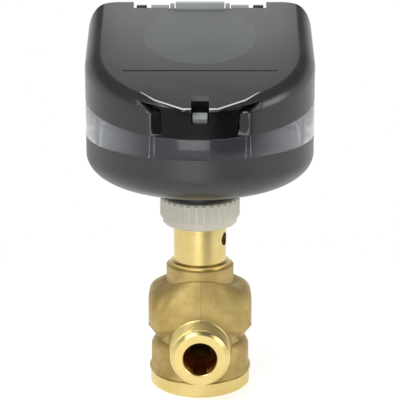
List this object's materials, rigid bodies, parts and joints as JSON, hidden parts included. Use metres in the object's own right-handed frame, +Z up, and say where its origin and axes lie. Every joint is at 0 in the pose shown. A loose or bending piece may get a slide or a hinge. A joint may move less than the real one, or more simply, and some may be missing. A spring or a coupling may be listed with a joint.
{
  "type": "electric valve actuator",
  "caption": "Grey electric linear actuator with clear band and knurled coupling nut on a brass two-port DN15 valve, cover, latch, gear train, spindle and stem moving.",
  "frame": {"origin": "middle of the base cap's underside, on the stem axis", "axes": "+Z up the valve stem, -Y out of the front port"},
  "size_m": [0.1, 0.0915, 0.1675],
  "materials": {
    "cast_brass": "matte",
    "turned_brass": "satin",
    "nut_plastic": "satin",
    "dark_plastic": "satin",
    "gloss_black": "gloss",
    "clear_plastic": "gloss",
    "light_plastic": "satin",
    "inner_plastic": "satin",
    "steel": "satin",
    "rubber": "matte",
    "board_green": "satin",
    "terminal_green": "satin",
    "relay_black": "satin"
  },
  "bodies": {
    "base": {"base_cap": "turned_brass", "cap_seal": "rubber", "valve_body": "cast_brass", "seat_ring": "turned_brass", "bonnet": "turned_brass", "stem_seal": "rubber", "gland_nut": "turned_brass", "return_spring": "steel", "lower_housing": "dark_plastic", "clear_band": "clear_plastic", "rear_panel": "light_plastic", "hinge_pin": "steel", "cable_grommets": "rubber", "lower_plate": "steel", "upper_plate": "steel", "plate_posts": "steel", "plate_screws": "steel", "guide_bush": "inner_plastic", "idler_axle": "steel", "motor": "steel", "circuit_board": "board_green", "board_posts": "inner_plastic", "board_screws": "steel", "terminal_block": "terminal_green", "terminal_screws": "steel", "setting_switches": "relay_black", "relay": "relay_black"},
    "stem": {"valve_stem": "steel", "closing_disc": "turned_brass", "spring_plate": "steel"},
    "nut": {"coupling_nut": "nut_plastic"},
    "cover": {"cover": "dark_plastic", "front_panel": "gloss_black"},
    "latch": {"latch_tongue": "light_plastic"},
    "drive": {"drive_wheel": "inner_plastic"},
    "idler": {"idler_gear": "inner_plastic"},
    "rotor": {"motor_shaft": "steel", "motor_pinion": "turned_brass"},
    "lifter": {"spindle": "steel"},
    "slider_1": {"switch_slider_1": "inner_plastic"},
    "slider_2": {"switch_slider_2": "inner_plastic"},
    "slider_3": {"switch_slider_3": "inner_plastic"},
    "slider_4": {"switch_slider_4": "inner_plastic"}
  },
  "joints": [
    {"name": "cover_hinge", "type": "hinge", "parent": "base", "child": "cover", "pos_m": [0, 0.0386, 0.16367], "axis": [-1, 0, 0], "range_deg": [0, 95]},
    {"name": "latch_press", "type": "hinge", "parent": "base", "child": "latch", "pos_m": [0, -0.0443, 0.11715], "axis": [-1, 0, 0], "range_deg": [0, 5], "stiffness_Nm_per_rad": 0.1},
    {"name": "nut_turn", "type": "hinge", "parent": "base", "child": "nut", "pos_m": [0, 0, 0.082], "axis": [0, 0, 1], "continuous": true},
    {"name": "drive_wheel_turn", "type": "hinge", "parent": "base", "child": "drive", "pos_m": [0, 0, 0.1085], "axis": [0, 0, 1], "range_deg": [0, 661]},
    {"name": "idler_turn", "type": "hinge", "parent": "base", "child": "idler", "pos_m": [-0.01697, 0.01697, 0.1115], "axis": [0, 0, 1], "range_deg": [-1983, 0]},
    {"name": "motor_turn", "type": "hinge", "parent": "base", "child": "rotor", "pos_m": [-0.01997, -0.00199, 0.1155], "axis": [0, 0, 1], "range_deg": [0, 5949]},
    {"name": "spindle_slide", "type": "slide", "parent": "base", "child": "lifter", "axis": [0, 0, 1], "range_m": [-0.0055, 0]},
    {"name": "stem_slide", "type": "slide", "parent": "base", "child": "stem", "axis": [0, 0, 1], "range_m": [-0.0055, 0], "deforming": ["return_spring"]},
    {"name": "switch_slide_1", "type": "slide", "parent": "base", "child": "slider_1", "axis": [0, -1, 0], "range_m": [0, 0.0016]},
    {"name": "switch_slide_2", "type": "slide", "parent": "base", "child": "slider_2", "axis": [0, 1, 0], "range_m": [0, 0.0016]},
    {"name": "switch_slide_3", "type": "slide", "parent": "base", "child": "slider_3", "axis": [0, -1, 0], "range_m": [0, 0.0016]},
    {"name": "switch_slide_4", "type": "slide", "parent": "base", "child": "slider_4", "axis": [0, 1, 0], "range_m": [0, 0.0016]}
  ],
  "couplings": [
    {"joint": "stem_slide", "follows": "spindle_slide", "ratio": 1},
    {"joint": "drive_wheel_turn", "follows": "spindle_slide", "rad_per_m": -2094.4},
    {"joint": "idler_turn", "follows": "spindle_slide", "rad_per_m": 6283.2},
    {"joint": "motor_turn", "follows": "spindle_slide", "rad_per_m": -18850}
  ]
}
